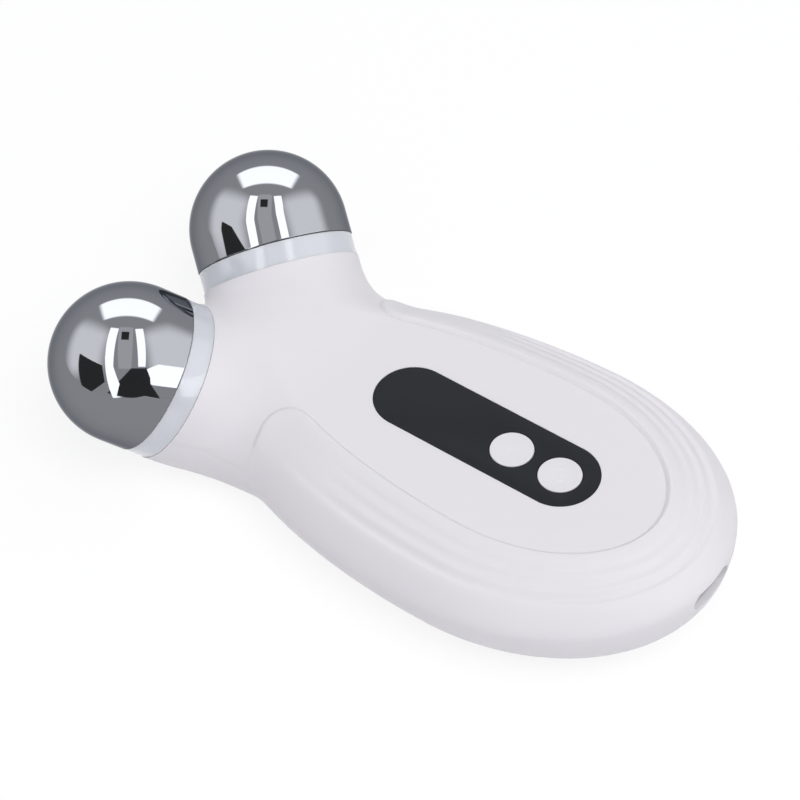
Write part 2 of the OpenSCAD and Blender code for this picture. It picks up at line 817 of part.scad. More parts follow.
module dome_screws() {
    color("silver") both_heads() difference() {
        union() {
            translate([0, 0, web_z - terminal_t - dome_screw_head])
                cylinder(r = dome_screw_head_r, h = dome_screw_head);
            translate([0, 0, web_z - terminal_t - eps])
                cylinder(r = dome_screw_r - 0.02, h = dome_screw_l);
        }
        for (a = [0, 90])
            translate([0, 0, web_z - terminal_t - dome_screw_head]) rotate([0, 0, a])
                cube([dome_screw_head_r, cross_w, 1.2 * dome_screw_head], center = true);
    }
}

module electrode_terminals() {
    color("goldenrod") both_heads() difference() {
        union() {
            translate([0, 0, web_z - terminal_t]) cylinder(r = terminal_r, h = terminal_t);
            translate([-tab_x - tab_w / 3, -tab_w / 2, web_z - terminal_t])
                cube([tab_w, tab_w, terminal_t]);
        }
        translate([0, 0, web_z - 2 * terminal_t])
            cylinder(r = dome_screw_r + 0.1, h = 3 * terminal_t);
    }
}

// Point of a head frame in the part's frame
function head_point(s, p) =
    let (c = s > 0 ? 90 - spread : 90 + spread, b = 90 - rise,
        q = [p.x * cos(b) + p.z * sin(b), p.y, p.z * cos(b) - p.x * sin(b)])
    [s * collar.x, collar.y, collar.z] + [q.x * cos(c) - q.y * sin(c), q.x * sin(c) + q.y * cos(c), q.z];

lead_reach = 15;
module electrode_lead(s) {
    color(s > 0 ? "crimson" : "black")
        wire([head_point(s, [-tab_x, 0, web_z - terminal_t]),
            head_point(s, [-tab_x, 0, web_z - lead_reach]),
            [s * board_w / 3, board_head + 0.6 * lead_reach, board_z + 0.2 * lead_reach],
            [s * board_w / 3, board_head - board_past / 2, board_z + wire_r]], wire_r);
}

module left_electrode_lead() {
    electrode_lead(-1);
}

module right_electrode_lead() {
    electrode_lead(1);
}

module housing_screws() {
    color("silver")
        for (y = screw_ys)
            translate([0, y, 0]) difference() {
                union() {
                    translate([0, 0, floor_z - screw_sink])
                        cylinder(r = screw_head_r, h = screw_sink + glue_t / 2);
                    translate([0, 0, wall + 4])
                        cylinder(r = screw_r - 0.2, h = floor_z - screw_sink - wall - 4 + eps);
                }
                translate([0, 0, floor_z - screw_sink + 0.4])
                    for (a = [0, 90])
                        rotate([0, 0, a]) translate([-1, -0.25, 0]) cube([2, 0.5, 2]);
            }
}

rear_housing();
front_cover();
display_panel();
panel_adhesive();
display_module();
power_button();
level_button();
power_switch();
level_switch();
power_switch_plunger();
level_switch_plunger();
main_pcb();
controller_chip();
boost_inductor();
usb_c_socket();
usb_c_tongue();
battery();
battery_pad();
battery_connector();
battery_leads();
left_dome();
right_dome();
left_light_ring();
right_light_ring();
left_led_board();
right_led_board();
ring_leds();
dome_screws();
electrode_terminals();
left_electrode_lead();
right_electrode_lead();
housing_screws();
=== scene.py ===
# %% [markdown]
# # A facial toning device, from bare solids to a finished picture
#
# The device is a palm-sized, egg-shaped handpiece in satin white plastic. It forks into two
# raised necks, and each neck carries a frosted light ring and a mirror-bright dome. The
# measured solids come in first, as a fixed frame. Everything after that is about looks:
# finer skins for the mouldings, real finishes, and light that a mirror can show.

# %% Load the measured solids
import math

import bmesh
import bpy
import numpy as np
from mathutils import Matrix, Vector


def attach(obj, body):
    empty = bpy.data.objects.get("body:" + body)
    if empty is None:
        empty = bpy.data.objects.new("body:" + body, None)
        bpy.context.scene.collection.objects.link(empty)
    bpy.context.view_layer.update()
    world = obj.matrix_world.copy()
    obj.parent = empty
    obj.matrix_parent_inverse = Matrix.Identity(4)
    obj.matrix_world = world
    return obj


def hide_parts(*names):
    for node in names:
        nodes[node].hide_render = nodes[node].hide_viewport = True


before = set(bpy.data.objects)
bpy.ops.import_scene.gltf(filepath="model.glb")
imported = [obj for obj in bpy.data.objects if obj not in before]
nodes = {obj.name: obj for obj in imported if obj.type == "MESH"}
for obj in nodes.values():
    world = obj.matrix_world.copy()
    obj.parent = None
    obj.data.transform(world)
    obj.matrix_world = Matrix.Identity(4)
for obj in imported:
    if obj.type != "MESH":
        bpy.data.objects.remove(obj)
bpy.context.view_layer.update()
MM = 0.001

# %% [markdown]
# The camera comes first, because every later choice is judged through it. It stands well back
# with a long lens, looks down at about 49 degrees from the port side, and leans by 3 degrees.
# The place and the three axes of the view are written down as numbers, so that nothing has to
# be nudged by eye.

# %% Camera
scene = bpy.context.scene
camera_data = bpy.data.cameras.new("studio_camera")
camera_data.lens = 148.53
camera_data.sensor_width = 36.0
camera_data.clip_start = 0.05
camera_data.clip_end = 20.0
camera = bpy.data.objects.new("studio_camera", camera_data)
scene.collection.objects.link(camera)
RIGHT = Vector((0.59341, -0.80400, -0.03794))
UP = Vector((0.61883, 0.42559, 0.66025))
BACK = Vector((-0.51469, -0.41528, 0.75009))
PANEL_CENTRE = Vector((0.0, 8.0, 22.85)) * MM
FROM_PANEL = Vector((-305.1, -227.2, 441.9)) * MM
view = Matrix((RIGHT, UP, BACK)).transposed().to_4x4()
view.translation = PANEL_CENTRE + FROM_PANEL
camera.matrix_world = view
scene.camera = camera
scene.view_settings.view_transform = "Standard"
print("camera at", [round(v / MM) for v in view.translation], "mm, lens", camera_data.lens, "mm")

# %% [markdown]
# ## Small helpers
#
# Each finished piece is one object at the origin whose place is in its mesh, the same as the
# measured solids. `finish_piece` turns a bmesh into such an object, smooths it, names its
# finish and lets it ride on the body that carries it.

# %% Helper that turns a bmesh into a finished piece
def finish_piece(bm, name, material, body, sharp=40.0, edge_material=None):
    bmesh.ops.remove_doubles(bm, verts=bm.verts, dist=1e-7)
    bmesh.ops.recalc_face_normals(bm, faces=bm.faces)
    mesh = bpy.data.meshes.new(name)
    bm.to_mesh(mesh)
    bm.free()
    return finish_mesh(mesh, name, material, body, sharp, edge_material)


def finish_mesh(mesh, name, material, body, sharp=40.0, edge_material=None):
    mesh.materials.clear()
    mesh.materials.append(material)
    if edge_material:
        mesh.materials.append(edge_material)
    piece = bpy.data.objects.new(name, mesh)
    scene.collection.objects.link(piece)
    mesh.shade_smooth()
    mesh.set_sharp_from_angle(angle=math.radians(sharp))
    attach(piece, body)
    print(name, len(mesh.polygons), "faces")
    return piece


# %% [markdown]
# ## Finishes
#
# The white plastic is satin: a wide, soft gloss over a very fine moulded grain, with a faint
# drift in tone so that it doesn't look like paper. The grain is a bump from a fine noise at the
# real scale of spark-eroded plastic, about a quarter of a millimetre.

# %% Helper for a plastic with a moulded grain
def moulded(name, colour, roughness, grain=0.004, grain_scale=2600.0, drift=0.012, coat=0.0,
            subsurface=0.0, gloss=0.5):
    material = bpy.data.materials.new(name)
    material.use_nodes = True
    tree = material.node_tree
    shader = tree.nodes["Principled BSDF"]
    shader.inputs["Coat Weight"].default_value = coat
    shader.inputs["Coat Roughness"].default_value = 0.08
    shader.inputs["Specular IOR Level"].default_value = gloss
    if subsurface:
        shader.inputs["Subsurface Weight"].default_value = subsurface
        shader.inputs["Subsurface Radius"].default_value = (1.0, 0.9, 0.95)
        shader.inputs["Subsurface Scale"].default_value = 0.0015
    place = tree.nodes.new("ShaderNodeTexCoord")
    slow = tree.nodes.new("ShaderNodeTexNoise")
    slow.inputs["Scale"].default_value = 45.0
    slow.inputs["Detail"].default_value = 3.0
    tree.links.new(place.outputs["Object"], slow.inputs["Vector"])
    tone = tree.nodes.new("ShaderNodeMix")
    tone.data_type = "RGBA"
    tone.inputs["A"].default_value = (*[c * (1 - drift) for c in colour], 1.0)
    tone.inputs["B"].default_value = (*[min(c * (1 + drift), 1.0) for c in colour], 1.0)
    tree.links.new(slow.outputs["Fac"], tone.inputs["Factor"])
    tree.links.new(tone.outputs["Result"], shader.inputs["Base Color"])
    sheen = tree.nodes.new("ShaderNodeMapRange")
    sheen.inputs["To Min"].default_value = roughness - 0.03
    sheen.inputs["To Max"].default_value = roughness + 0.03
    tree.links.new(slow.outputs["Fac"], sheen.inputs["Value"])
    tree.links.new(sheen.outputs["Result"], shader.inputs["Roughness"])
    fine = tree.nodes.new("ShaderNodeTexNoise")
    fine.inputs["Scale"].default_value = grain_scale
    fine.inputs["Detail"].default_value = 2.0
    tree.links.new(place.outputs["Object"], fine.inputs["Vector"])
    bump = tree.nodes.new("ShaderNodeBump")
    bump.inputs["Distance"].default_value = grain * MM
    bump.inputs["Strength"].default_value = 1.0
    tree.links.new(fine.outputs["Fac"], bump.inputs["Height"])
    tree.links.new(bump.outputs["Normal"], shader.inputs["Normal"])
    return material


# %% [markdown]
# Metals need a mirror-like shader and something to mirror. The domes are a dark, polished
# chrome that gives the white surroundings back as a mid grey. So the base colour is a neutral
# fifth, the tint towards the rim is lighter, and there is nearly no roughness. A slow, very
# shallow noise keeps the reflection from being drawn with a ruler, as on a real plated
# pressing. Steel and brass are rougher, and the screws carry a brushed grain.

# %% Helper for metals
def metal(name, colour, roughness, edge=None, ripple=0.0, ripple_scale=120.0, brushed=False):
    material = bpy.data.materials.new(name)
    material.use_nodes = True
    tree = material.node_tree
    shader = tree.nodes["Principled BSDF"]
    shader.inputs["Metallic"].default_value = 1.0
    shader.inputs["Base Color"].default_value = (*colour, 1.0)
    if edge:
        shader.inputs["Specular Tint"].default_value = (*edge, 1.0)
    place = tree.nodes.new("ShaderNodeTexCoord")
    noise = tree.nodes.new("ShaderNodeTexNoise")
    noise.inputs["Scale"].default_value = ripple_scale
    noise.inputs["Detail"].default_value = 2.0
    if brushed:
        turn = tree.nodes.new("ShaderNodeMapping")
        turn.inputs["Scale"].default_value = (1.0, 14.0, 1.0)
        tree.links.new(place.outputs["Object"], turn.inputs["Vector"])
        tree.links.new(turn.outputs["Vector"], noise.inputs["Vector"])
    else:
        tree.links.new(place.outputs["Object"], noise.inputs["Vector"])
    gloss = tree.nodes.new("ShaderNodeMapRange")
    gloss.inputs["To Min"].default_value = roughness * 0.8
    gloss.inputs["To Max"].default_value = roughness * 1.3
    tree.links.new(noise.outputs["Fac"], gloss.inputs["Value"])
    tree.links.new(gloss.outputs["Result"], shader.inputs["Roughness"])
    if ripple:
        bump = tree.nodes.new("ShaderNodeBump")
        bump.inputs["Distance"].default_value = ripple * MM
        bump.inputs["Strength"].default_value = 1.0
        tree.links.new(noise.outputs["Fac"], bump.inputs["Height"])
        tree.links.new(bump.outputs["Normal"], shader.inputs["Normal"])
    return material


# %% [markdown]
# Each finish is named once and used for every piece of that material. The tones are those of
# plain daylight: a white with a faint lavender tint, a charcoal close to black, and a ring of
# frosted plastic that lets a little light in under its surface.

# %% The finishes by name
white_satin = moulded("white_satin", (0.825, 0.803, 0.838), 0.52, subsurface=0.12, gloss=0.2)
button_satin = moulded("button_satin", (0.77, 0.755, 0.78), 0.48, gloss=0.25)
button_mark = moulded("button_mark", (0.75, 0.737, 0.765), 0.45)
panel_charcoal = moulded("panel_charcoal", (0.0185, 0.0195, 0.0245), 0.5, drift=0.05, gloss=0.04)
# pale colour for the bevel of the charcoal panel: a painted highlight along its edge
panel_edge_painted_highlight = moulded("panel_edge_painted_highlight", (0.82, 0.82, 0.85), 0.35)
frosted_ring = moulded("frosted_ring", (0.68, 0.70, 0.755), 0.16, grain=0.001,
                       grain_scale=900.0, drift=0.02, coat=0.15, subsurface=0.5)
dome_chrome = metal("dome_chrome", (0.205, 0.212, 0.228), 0.03, edge=(0.46, 0.47, 0.50),
                    ripple=0.0006, ripple_scale=60.0)
plain_steel = metal("plain_steel", (0.60, 0.60, 0.61), 0.3, brushed=True, ripple=0.003)
brass = metal("brass", (0.72, 0.55, 0.22), 0.3, ripple=0.002)
pouch_foil = metal("pouch_foil", (0.60, 0.63, 0.67), 0.42, ripple=0.02, ripple_scale=300.0)
black_moulding = moulded("black_moulding", (0.028, 0.028, 0.03), 0.45, grain=0.006)
board_green = moulded("board_green", (0.02, 0.14, 0.055), 0.30, drift=0.10, coat=0.4)
board_white = moulded("board_white", (0.80, 0.80, 0.78), 0.30, coat=0.3)
foam_grey = moulded("foam_grey", (0.11, 0.11, 0.12), 0.9, grain=0.06, grain_scale=1500.0)
ivory_nylon = moulded("ivory_nylon", (0.78, 0.73, 0.62), 0.42)
wire_red = moulded("wire_red", (0.50, 0.02, 0.03), 0.4)
wire_black = moulded("wire_black", (0.02, 0.02, 0.022), 0.4)
film_adhesive = moulded("film_adhesive", (0.74, 0.74, 0.72), 0.5)
phosphor = moulded("phosphor", (0.83, 0.68, 0.18), 0.35, coat=0.5)
print("finishes:", len(bpy.data.materials))

# %% [markdown]
# The solids that stay as they are only need a better finish. They sit inside the closed
# housing, and show when it is opened or seen through the port.

# %% Finishes of the solids that stay
KEPT_FINISHES = {
    "panel_adhesive": film_adhesive, "display_module": black_moulding,
    "power_switch": black_moulding, "level_switch": black_moulding,
    "power_switch_plunger": black_moulding, "level_switch_plunger": black_moulding,
    "main_pcb": board_green, "controller_chip": black_moulding,
    "boost_inductor": black_moulding, "usb_c_socket": plain_steel,
    "usb_c_tongue": black_moulding, "battery": pouch_foil, "battery_pad": foam_grey,
    "battery_connector": ivory_nylon, "battery_leads": wire_red,
    "left_led_board": board_white, "right_led_board": board_white, "ring_leds": phosphor,
    "dome_screws": plain_steel, "electrode_terminals": brass,
    "left_electrode_lead": wire_black, "right_electrode_lead": wire_red,
    "housing_screws": plain_steel,
}
for node_name, material in KEPT_FINISHES.items():
    mesh = nodes[node_name].data
    mesh.materials.clear()
    mesh.materials.append(material)
print("finishes on", len(KEPT_FINISHES), "solids")

# %% [markdown]
# ## The form of the handpiece
#
# The white body is one flowing surface. It is easiest to hold as a *form*: a function that is
# negative inside and positive outside. An egg with rounded sides and two round necks are
# blended softly, and a skin is found by walking along rays until the function is zero. These
# are the same rules and sizes that made the solids, evaluated much more finely here.

# %% Sizes of the form, in millimetres
# the egg: inner radius across, length to the port, length to the heads
EGG_R, EGG_PORT, EGG_HEAD = 18.85, 27.4, 54.2
SIDE, BODY_H, WAIST_H, WAIST_FALL = 12.7, 22.85, 12.6, 0.069
TOP_ROUND, UNDER_ROUND, SIDE_PACE = 1.6, 1.95, 0.92
# the rim beside the crease and its three grooves
RIM_RISE, GROOVE_AT, GROOVE_PITCH, GROOVE_D = 0.7, 3.6, 2.18, 0.42
GROOVE_FULL, GROOVE_END = 14.0, 30.0
# the necks, and how softly they meet each other, the body and the rest face
NECK_R, SADDLE, SHOULDER_K, UNDER_K = 15.0, 8.0, 9.0, 6.8
NECK_BEHIND, NECK_BEYOND = -24, 8
UNDER_SOFT_FROM, UNDER_SOFT_RUN = 30, 10
SPREAD, RISE = math.radians(36.4), math.radians(34.5)
AXIS = np.array([math.sin(SPREAD) * math.cos(RISE), math.cos(SPREAD) * math.cos(RISE),
                 math.sin(RISE)])
# the heads
DOME_CENTRE = np.array([20.6, 73.0, 19.9])
RING_H, SKIRT, DOME_R, RING_INSET = 4.2, 5.0, 15.0, 0.15
COLLAR = DOME_CENTRE - (RING_H + SKIRT) * AXIS
# the lobe that ends the rim, and the joint between the two mouldings
LIP_W, LIP_END = 0.9, 6.2
LOBE_R, LOBE_X, LOBE_Y, LOBE_LEAN = 6.0, 19.65, 38.5, math.radians(18)
RIM_EXIT = LOBE_Y + LOBE_R - 0.6
PLATE_FULL = LOBE_Y - 0.65 * LOBE_R
SEAM, SEAM_H, SEAM_TURN, SEAM_SLOPE = 0.02, 11.6, 50.0, 0.42
PLATE_Z, WALL = 20.45, 2.0
print("collar of the right head in mm:", np.round(COLLAR, 2))


# %% [markdown]
# `past_egg` is the distance beyond the flat egg in the plan, and `pebble` rounds it off above
# and below the waist. `blend_min` joins two forms with a fillet of a chosen size. A negative
# sign turns the same blend into a soft cut, which is how the rest face is made flat.

# %% The form as a function
def soft(t):
    t = np.clip(t, 0.0, 1.0)
    return t * t * (3 - 2 * t)


def blend_min(a, b, k):
    return np.minimum(a, b) - np.maximum(k - np.abs(a - b), 0.0) ** 2 / (4 * k)


def past_egg(x, y):
    length = np.where(y < 0, EGG_PORT, EGG_HEAD)
    d = EGG_R * np.maximum(np.hypot(x / EGG_R, y / length) - 1, -0.9)
    for _ in range(8):
        a, b = np.maximum(EGG_R + d, 1.0), np.maximum(length + d, 1.0)
        f = x * x / a ** 2 + y * y / b ** 2 - 1
        slope = 2 * (x * x / a ** 3 + y * y / b ** 3) + 1e-6
        d = np.maximum(d + f / slope, 1 - EGG_R)
    return d


def waist(y):
    return WAIST_H - WAIST_FALL * np.clip(y, -39.0, 48.0)


def pebble(p):
    x, y, z = p[:, 0], p[:, 1], p[:, 2]
    d = np.maximum(past_egg(x, y), 0) / SIDE
    w = waist(y)
    up = z > w
    h = np.abs(z - w) / np.where(up, BODY_H - w, w)
    n = np.where(up, TOP_ROUND, UNDER_ROUND)
    return ((d ** n + h ** n) ** (1 / n) - 1) * SIDE * SIDE_PACE


def neck(p, side):
    q = p * [side, 1, 1] - COLLAR
    t = np.clip(q @ AXIS, NECK_BEHIND, NECK_BEYOND)
    return np.linalg.norm(q - t[:, None] * AXIS, axis=1) - NECK_R


def form(p):
    necks = -blend_min(-blend_min(neck(p, 1), neck(p, -1), SADDLE), p[:, 2], UNDER_K)
    under_edge = 1e-6 + soft((p[:, 1] - UNDER_SOFT_FROM) / UNDER_SOFT_RUN)
    return -blend_min(-blend_min(pebble(p), necks, SHOULDER_K), p[:, 2], under_edge)


# %% [markdown]
# Two ways of finding the skin are enough. Rays from a point inside the forked end give the
# necks. For the ridged rim, rays start on a line that runs round inside the side wall. Both
# halve an interval until the form changes sign, for all rays at once.

# %% Finding the skin along rays
def halve(start, direction, low, high, function, turns=24):
    low = np.full(len(direction), float(low))
    high = np.full(len(direction), float(high))
    for _ in range(turns):
        middle = (low + high) / 2
        inside = function(start + direction * middle[:, None]) < 0
        low = np.where(inside, middle, low)
        high = np.where(inside, high, middle)
    return start + direction * ((low + high) / 2)[:, None]


def egg_at(turn, d):
    length = np.where(np.sin(turn) < 0, EGG_PORT, EGG_HEAD)
    return np.stack([(EGG_R + d) * np.cos(turn), (length + d) * np.sin(turn)], axis=1)


# %% [markdown]
# The rim stands a little above the cover at the crease, and three shallow grooves run round
# it. They fade out on the way to the necks, and the rim ends in a rounded lobe on each side.
# `lip` is the rise beside the crease, `shoulder` the slow fall outside the grooves, and `dive`
# sinks the body's skin below the neck's skin where the two overlap.

# %% Height of the ridges
def lip(d):
    rise = np.where(d < LIP_W, RIM_RISE * soft(d / LIP_W) ** 0.8,
                    RIM_RISE * (1 - soft((d - LIP_W) / (LIP_END - LIP_W))))
    return np.where(d <= 0, 0.0, rise)


def shoulder(d):
    k = (d - GROOVE_AT) / GROOVE_PITCH
    return (0.1 * np.clip(k, 0, 1) + 0.3 * soft((k - 2) / 0.6)) * (1 - soft((k - 2.6) / 1.2))


def groove(d):
    k = (d - GROOVE_AT) / GROOVE_PITCH
    depth = GROOVE_D * (0.6 + 0.2 * np.round(k))
    return np.where((k < -0.5) | (k > 2.5), 0.0, -depth * np.cos(math.pi * (k - np.round(k))) ** 2)


def rim_top(x, y, d):
    lobe_in = LOBE_R - np.hypot(np.maximum(LOBE_X - np.abs(x), 0), np.maximum(y - LOBE_Y, 0))
    e = np.where(y > GROOVE_END, np.minimum(d, np.maximum(lobe_in, 0)), d)
    return (lip(e) + shoulder(d) * soft((RIM_EXIT - y) / (RIM_EXIT - GROOVE_END))
            + groove(d) * soft((GROOVE_END - y) / (GROOVE_END - GROOVE_FULL)))


def dive(y):
    return 0.4 * soft((y - RIM_EXIT + 0.5) / 1.5)


# %% [markdown]
# `create_uvsphere` gives a closed skin of rings with a pole at each end, which is just the
# layout that the rim needs. Each vertex keeps its ring and its turn, and is moved to where
# the form has its skin. The columns are set closer together where the rim ends in its lobes,
# because that is where the outline turns fastest.

# %% A sphere whose vertices know their ring and column
def ringed_sphere(columns, rings):
    bm = bmesh.new()
    bmesh.ops.create_uvsphere(bm, u_segments=columns, v_segments=rings + 1, radius=1.0)
    co = np.array([v.co[:] for v in bm.verts])
    ring = np.rint(np.arccos(np.clip(co[:, 2], -1, 1)) / math.pi * (rings + 1)).astype(int)
    column = np.rint(np.arctan2(co[:, 1], co[:, 0]) / (2 * math.pi) * columns).astype(int)
    return bm, ring, column % columns


def move_vertices(bm, places):
    for vertex, place in zip(bm.verts, places):
        vertex.co = place * MM


def mesh_of(bm, name):
    bmesh.ops.recalc_face_normals(bm, faces=bm.faces)
    mesh = bpy.data.meshes.new(name)
    bm.to_mesh(mesh)
    bm.free()
    piece = bpy.data.objects.new(name, mesh)
    scene.collection.objects.link(piece)
    return piece


# %% [markdown]
# The rings of the ridged body come in two families. On the top they are offsets of the egg,
# close together at the crease and over the grooves. Round the side they are rays that turn
# from nearly upright to straight down, so that the skin has no stretched faces.

# %% The ridged body
LOBE_MIDDLE_Y = 42.0


def close_columns(count, spots, width, gain):
    fine = np.linspace(0, 2 * math.pi, 7200, endpoint=False)
    density = np.ones_like(fine)
    for spot in spots:
        density += gain * np.exp(-((fine - spot) / width) ** 2)
    total = np.concatenate([[0], np.cumsum(density)])
    return np.interp(np.arange(count) / count * total[-1], total,
                     np.concatenate([fine, [2 * math.pi]]))


def ridged_body(name, columns=384):
    lobe_turn = math.asin(LOBE_MIDDLE_Y / EGG_HEAD)
    turn_of = close_columns(columns, [lobe_turn, math.pi - lobe_turn], 0.16, 3.0)
    top = np.concatenate([[-1.5, 0.0], np.arange(0.075, 0.95, 0.075), np.arange(1.05, 3.0, 0.25),
                          np.arange(3.0, 10.2, 0.18)])
    around = np.radians(np.arange(69.0, 170.0, 3.0))
    bm, ring, column = ringed_sphere(columns, len(top) + len(around) + 1)
    places = np.zeros((len(ring), 3))
    turn = turn_of[column]
    on_top = (ring >= 1) & (ring <= len(top))
    d = np.where(on_top, top[np.clip(ring - 1, 0, len(top) - 1)], 0)
    xy = egg_at(turn, d)
    start = np.column_stack([xy, waist(xy[:, 1])])
    straight_up = np.tile([0.0, 0.0, 1.0], (len(ring), 1))
    sloping = on_top & (d > 0)
    places[on_top] = np.column_stack([xy, np.full(len(xy), BODY_H)])[on_top]
    places[sloping] = halve(start[sloping], straight_up[sloping], 0, 16, form)
    places[on_top, 2] += (rim_top(xy[:, 0], xy[:, 1], d) - dive(xy[:, 1]))[on_top]
    at_side = (ring > len(top)) & (ring <= len(top) + len(around))
    lean = around[np.clip(ring - 1 - len(top), 0, len(around) - 1)]
    heart = egg_at(turn, 2.0)
    normal = egg_at(turn, 3.0) - heart
    normal /= np.linalg.norm(normal, axis=1)[:, None]
    ray = np.column_stack([normal * np.sin(lean)[:, None], np.cos(lean)])
    core = np.column_stack([heart, waist(heart[:, 1])])
    places[at_side] = halve(core[at_side], ray[at_side], 0, 26,
                            lambda p: form(p) + dive(p[:, 1]))
    out = np.hypot(*(places[:, :2] - egg_at(turn, 0.0)).T)
    fading = soft((RIM_EXIT - xy[:, 1]) / (RIM_EXIT - GROOVE_END))
    places[at_side, 2] += (shoulder(out) * fading)[at_side]
    last = ring == len(top) + len(around) + 1
    under = egg_at(turn, 0.0)
    places[last] = np.column_stack([under, dive(under[:, 1])])[last]
    places[ring == 0] = (0, 0, BODY_H)
    places[ring == ring.max()] = (0, 0, 0)
    move_vertices(bm, places)
    return mesh_of(bm, name)


# %% [markdown]
# The forked end is a second sphere, with its poles at the heads and at the port. It runs on a
# little past the collars, and the collars are cut flat afterwards. Points that come out within
# a few microns of the top face or the rest face are laid exactly on it.

# %% The forked end
NECK_CORE = np.array([0.0, 46.0, 10.0])
NEARLY_FLAT = 0.004


def forked_end(name, bury, inset=0.0, columns=320, rings=210, start_y=24.0):
    bm, _, _ = ringed_sphere(columns, rings)
    bmesh.ops.rotate(bm, verts=bm.verts, cent=(0, 0, 0),
                     matrix=Matrix.Rotation(math.radians(-90), 3, "X"))
    direction = np.array([v.co.normalized()[:] for v in bm.verts])

    def end_form(p):
        buried = bury * (1 - soft((p[:, 1] - RIM_EXIT + 1.5) / 1.5))
        return np.maximum(form(p) + inset + buried, start_y + inset - p[:, 1])

    places = halve(NECK_CORE, direction, 0, 62, end_form)
    for height in (BODY_H, 0.0):
        places[np.abs(places[:, 2] - height) < NEARLY_FLAT, 2] = height
    move_vertices(bm, places)
    return mesh_of(bm, name)


# %% [markdown]
# ## Cutting the two mouldings apart
#
# On the real object the top cover is let into the body along the crease, and the joint line
# runs on along the flanks of the necks. Here the same cut is made with simple tools: an
# extruded outline for the cover, a bent wedge for the joint, and flat discs at the collars.
# The cut leaves true, crisp edges in skins that stay smooth.

# %% Cutting tools
FAR_X, FAR_Y, FAR_Z = 46, 110, 60


def cut(target, tool, kind):
    modifier = target.modifiers.new(kind, "BOOLEAN")
    modifier.operation = kind
    modifier.solver = "MANIFOLD"
    modifier.object = tool
    graph = bpy.context.evaluated_depsgraph_get()
    mesh = bpy.data.meshes.new_from_object(target.evaluated_get(graph))
    target.modifiers.clear()
    target.data = mesh
    print(kind, tool.name, "->", len(mesh.polygons), "faces")


def discard(*tools):
    for tool in tools:
        bpy.data.objects.remove(tool)


def cover_outline(grow):
    start = math.asin((LOBE_Y - LOBE_R * math.sin(LOBE_LEAN)) / EGG_HEAD)
    egg = egg_at(np.concatenate([np.radians(np.arange(-90, 0, 1.0)),
                                 np.linspace(0, start, 60)]), grow)
    turn = np.arange(math.pi + LOBE_LEAN - 0.03, math.radians(96), -0.05)
    radius = LOBE_R - grow
    lobe = np.column_stack([LOBE_X + radius * np.cos(turn), LOBE_Y + radius * np.sin(turn)])
    tail = np.array([[LOBE_X + 3, RIM_EXIT + 0.2 - grow], [FAR_X, RIM_EXIT - 1 - grow],
                     [FAR_X, FAR_Y]])
    right = np.concatenate([egg, lobe, tail])
    left = right[1:][::-1] * [-1, 1]
    return np.concatenate([right, left])


def prism(name, outline, low, high):
    bm = bmesh.new()
    ring = [bm.verts.new((x * MM, y * MM, low * MM)) for x, y in outline]
    base = bm.faces.new(ring)
    grown = bmesh.ops.extrude_face_region(bm, geom=[base])
    up = [v for v in grown["geom"] if isinstance(v, bmesh.types.BMVert)]
    bmesh.ops.translate(bm, verts=up, vec=(0, 0, (high - low) * MM))
    return mesh_of(bm, name)


def joint_wedge(name, grow):
    height = SEAM_H - grow
    outline = [(RIM_EXIT - 3, height), (SEAM_TURN, height),
               (SEAM_TURN + 60, height + 60 * SEAM_SLOPE), (115, 80), (RIM_EXIT - 3, 80)]
    bm = bmesh.new()
    ring = [bm.verts.new((-0.05, y * MM, z * MM)) for y, z in outline]
    base = bm.faces.new(ring)
    grown = bmesh.ops.extrude_face_region(bm, geom=[base])
    out = [v for v in grown["geom"] if isinstance(v, bmesh.types.BMVert)]
    bmesh.ops.translate(bm, verts=out, vec=(0.1, 0, 0))
    return mesh_of(bm, name)


def cover_space(name, grow, low):
    plate = prism(name, cover_outline(grow), low, FAR_Z)
    tall = prism(name + "_tall", cover_outline(grow), -5, FAR_Z + 0.5)
    wedge = joint_wedge(name + "_wedge", grow)
    cut(tall, wedge, "INTERSECT")
    cut(plate, tall, "UNION")
    discard(tall, wedge)
    return plate


def head_matrix(side):
    turn = Matrix.Rotation(math.radians(90) - side * SPREAD, 4, "Z")
    lean = Matrix.Rotation(math.radians(90) - RISE, 4, "Y")
    place = Matrix.Translation(Vector((side * COLLAR[0], COLLAR[1], COLLAR[2])) * MM)
    return place @ turn @ lean


def past_collar(side):
    bm = bmesh.new()
    bmesh.ops.create_cone(bm, cap_ends=True, segments=96, radius1=0.019, radius2=0.019, depth=0.04)
    bmesh.ops.translate(bm, verts=bm.verts, vec=(0, 0, 0.02))
    bmesh.ops.transform(bm, matrix=head_matrix(side), verts=bm.verts)
    return mesh_of(bm, "past_collar")


# %% [markdown]
# The inside is hollow, so that the port and the collars show a real wall. The hollow needs no
# fine skin: it is the same form, one wall further in, with fewer rings.

# %% Hollow
def egg_hollow():
    columns, top = 72, PLATE_Z - 1.2
    lean = np.radians(np.arange(9.0, 181.0, 9.0))
    bm, ring, column = ringed_sphere(columns, len(lean) + 2)
    turn = column / columns * 2 * math.pi
    places = np.zeros((len(ring), 3))
    for step, z in ((1, PLATE_Z), (2, top)):
        here = ring == step
        places[here] = np.column_stack([egg_at(turn, -1.2), np.full(len(turn), z)])[here]
    side = (ring >= 3) & (ring < ring.max())
    angle = lean[np.clip(ring - 3, 0, len(lean) - 1)]
    xy = egg_at(turn, (SIDE - WALL) * np.sin(angle))
    w = waist(xy[:, 1])
    h = np.abs(np.cos(angle))
    z = np.where(angle <= math.pi / 2, w + (top - w) * h, w - (w - WALL) * h)
    places[side] = np.column_stack([xy, z])[side]
    places[ring == 0] = (0, 0, PLATE_Z)
    places[ring == ring.max()] = (0, 0, WALL)
    move_vertices(bm, places)
    return mesh_of(bm, "egg_hollow")


